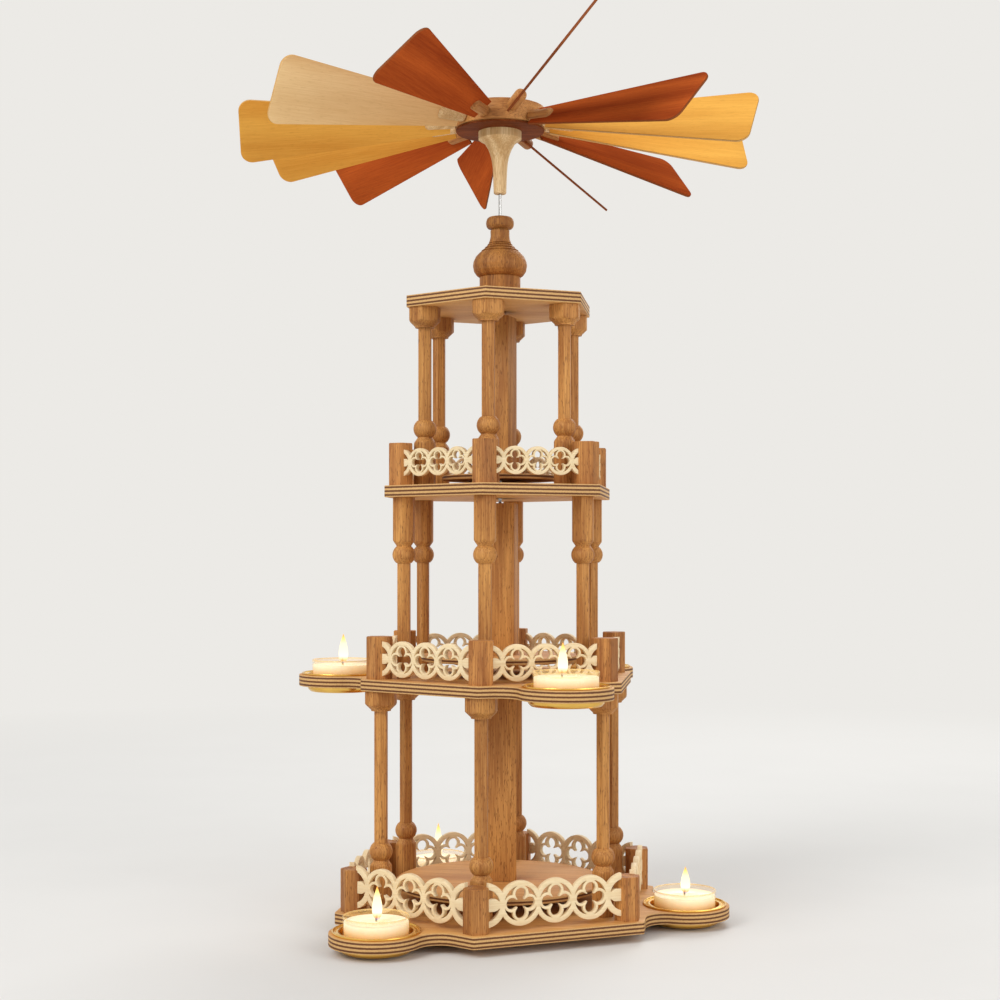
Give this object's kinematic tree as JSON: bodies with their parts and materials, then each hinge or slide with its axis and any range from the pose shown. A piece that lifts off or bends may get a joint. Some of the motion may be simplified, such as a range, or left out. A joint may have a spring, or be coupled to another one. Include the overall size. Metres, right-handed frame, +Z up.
{
  "type": "christmas pyramid",
  "caption": "Tiered wooden candle pyramid: hexagonal boards on turned columns, pierced galleries, tealight arms, and a rotor with round turntables and pitched wings.",
  "frame": {"origin": "on the rotor axis, at the underside of the feet", "axes": "+Z up along the rotor axis; -Y through corner 0 of the boards, between two base candle arms; +X square to a side of the boards, over one base candle arm"},
  "size_m": [0.3153, 0.3149, 0.5232],
  "materials": {
    "plywood": "clear satin on birch plywood",
    "beech": "clear satin on turned hardwood",
    "pale_wood": "bare sanded pale wood",
    "hub_wood": "reddish stain, satin",
    "wing_wood": "bare sanded thin plywood",
    "brass": "polished pressed sheet",
    "steel": "bright drawn wire",
    "wax": "white wax in a thin clear cup"
  },
  "bodies": {
    "frame": {"base_board": "plywood", "middle_board": "plywood", "upper_board": "plywood", "roof_board": "plywood", "lower_column_1": "beech", "lower_column_2": "beech", "lower_column_3": "beech", "lower_column_4": "beech", "lower_column_5": "beech", "lower_column_6": "beech", "middle_column_1": "beech", "middle_column_2": "beech", "middle_column_3": "beech", "middle_column_4": "beech", "middle_column_5": "beech", "middle_column_6": "beech", "upper_column_1": "beech", "upper_column_2": "beech", "upper_column_3": "beech", "upper_column_4": "beech", "upper_column_5": "beech", "upper_column_6": "beech", "lower_gallery": "pale_wood", "middle_gallery": "pale_wood", "upper_gallery": "pale_wood", "base_insert_1": "brass", "base_insert_2": "brass", "base_insert_3": "brass", "middle_insert_1": "brass", "middle_insert_2": "brass", "middle_insert_3": "brass", "step_bearing": "brass", "finial": "beech"},
    "rotor": {"rotor_rod": "steel", "lower_turntable": "plywood", "middle_turntable": "plywood", "upper_turntable": "plywood", "lower_bar": "beech", "middle_bar": "beech", "upper_bar": "beech", "hub_cone": "pale_wood", "hub_disc": "hub_wood"},
    "wing_01": {"wing_01": "wing_wood"},
    "wing_02": {"wing_02": "wing_wood"},
    "wing_03": {"wing_03": "wing_wood"},
    "wing_04": {"wing_04": "wing_wood"},
    "wing_05": {"wing_05": "wing_wood"},
    "wing_06": {"wing_06": "wing_wood"},
    "wing_07": {"wing_07": "wing_wood"},
    "wing_08": {"wing_08": "wing_wood"},
    "wing_09": {"wing_09": "wing_wood"},
    "wing_10": {"wing_10": "wing_wood"},
    "wing_11": {"wing_11": "wing_wood"},
    "wing_12": {"wing_12": "wing_wood"},
    "base_tealight_1": {"base_tealight_1": "wax"},
    "base_tealight_2": {"base_tealight_2": "wax"},
    "base_tealight_3": {"base_tealight_3": "wax"},
    "middle_tealight_1": {"middle_tealight_1": "wax"},
    "middle_tealight_2": {"middle_tealight_2": "wax"},
    "middle_tealight_3": {"middle_tealight_3": "wax"}
  },
  "joints": [
    {"name": "rotor_spin", "type": "hinge", "parent": "frame", "child": "rotor", "pos_m": [0, 0, 0.012], "axis": [0, 0, 1], "continuous": true},
    {"name": "wing_01_pitch", "type": "hinge", "parent": "rotor", "child": "wing_01", "pos_m": [0, 0, 0.49235], "axis": [0.4049, -0.9093, 0.0958], "range_deg": [-32, 38]},
    {"name": "wing_02_pitch", "type": "hinge", "parent": "rotor", "child": "wing_02", "pos_m": [0, 0, 0.49235], "axis": [-0.2079, -0.978, -0.0175], "range_deg": [-18, 52]},
    {"name": "wing_03_pitch", "type": "hinge", "parent": "rotor", "child": "wing_03", "pos_m": [0, 0, 0.49235], "axis": [-0.7002, -0.7126, -0.0436], "range_deg": [-36, 34]},
    {"name": "wing_04_pitch", "type": "hinge", "parent": "rotor", "child": "wing_04", "pos_m": [0, 0, 0.49235], "axis": [-0.9474, -0.3078, -0.0872], "range_deg": [-30, 40]},
    {"name": "wing_05_pitch", "type": "hinge", "parent": "rotor", "child": "wing_05", "pos_m": [0, 0, 0.49235], "axis": [-0.973, 0.2246, -0.0523], "range_deg": [-26, 44]},
    {"name": "wing_06_pitch", "type": "hinge", "parent": "rotor", "child": "wing_06", "pos_m": [0, 0, 0.49235], "axis": [-0.7753, 0.6278, -0.0698], "range_deg": [-35, 35]},
    {"name": "wing_07_pitch", "type": "hinge", "parent": "rotor", "child": "wing_07", "pos_m": [0, 0, 0.49235], "axis": [-0.2671, 0.963, -0.0349], "range_deg": [-41, 29]},
    {"name": "wing_08_pitch", "type": "hinge", "parent": "rotor", "child": "wing_08", "pos_m": [0, 0, 0.49235], "axis": [0.266, 0.9592, -0.0958], "range_deg": [-21, 49]},
    {"name": "wing_09_pitch", "type": "hinge", "parent": "rotor", "child": "wing_09", "pos_m": [0, 0, 0.49235], "axis": [0.673, 0.7345, -0.0872], "range_deg": [-28, 42]},
    {"name": "wing_10_pitch", "type": "hinge", "parent": "rotor", "child": "wing_10", "pos_m": [0, 0, 0.49235], "axis": [0.9354, 0.3497, -0.0523], "range_deg": [-35, 35]},
    {"name": "wing_11_pitch", "type": "hinge", "parent": "rotor", "child": "wing_11", "pos_m": [0, 0, 0.49235], "axis": [0.9714, -0.2243, -0.0785], "range_deg": [-36, 34]},
    {"name": "wing_12_pitch", "type": "hinge", "parent": "rotor", "child": "wing_12", "pos_m": [0, 0, 0.49235], "axis": [0.7618, -0.6393, -0.1045], "range_deg": [-29, 41]},
    {"name": "base_tealight_1_lift", "type": "slide", "parent": "frame", "child": "base_tealight_1", "axis": [0, 0, 1], "range_m": [0, 0.03]},
    {"name": "base_tealight_2_lift", "type": "slide", "parent": "frame", "child": "base_tealight_2", "axis": [0, 0, 1], "range_m": [0, 0.03]},
    {"name": "base_tealight_3_lift", "type": "slide", "parent": "frame", "child": "base_tealight_3", "axis": [0, 0, 1], "range_m": [0, 0.03]},
    {"name": "middle_tealight_1_lift", "type": "slide", "parent": "frame", "child": "middle_tealight_1", "axis": [0, 0, 1], "range_m": [0, 0.03]},
    {"name": "middle_tealight_2_lift", "type": "slide", "parent": "frame", "child": "middle_tealight_2", "axis": [0, 0, 1], "range_m": [0, 0.03]},
    {"name": "middle_tealight_3_lift", "type": "slide", "parent": "frame", "child": "middle_tealight_3", "axis": [0, 0, 1], "range_m": [0, 0.03]}
  ]
}
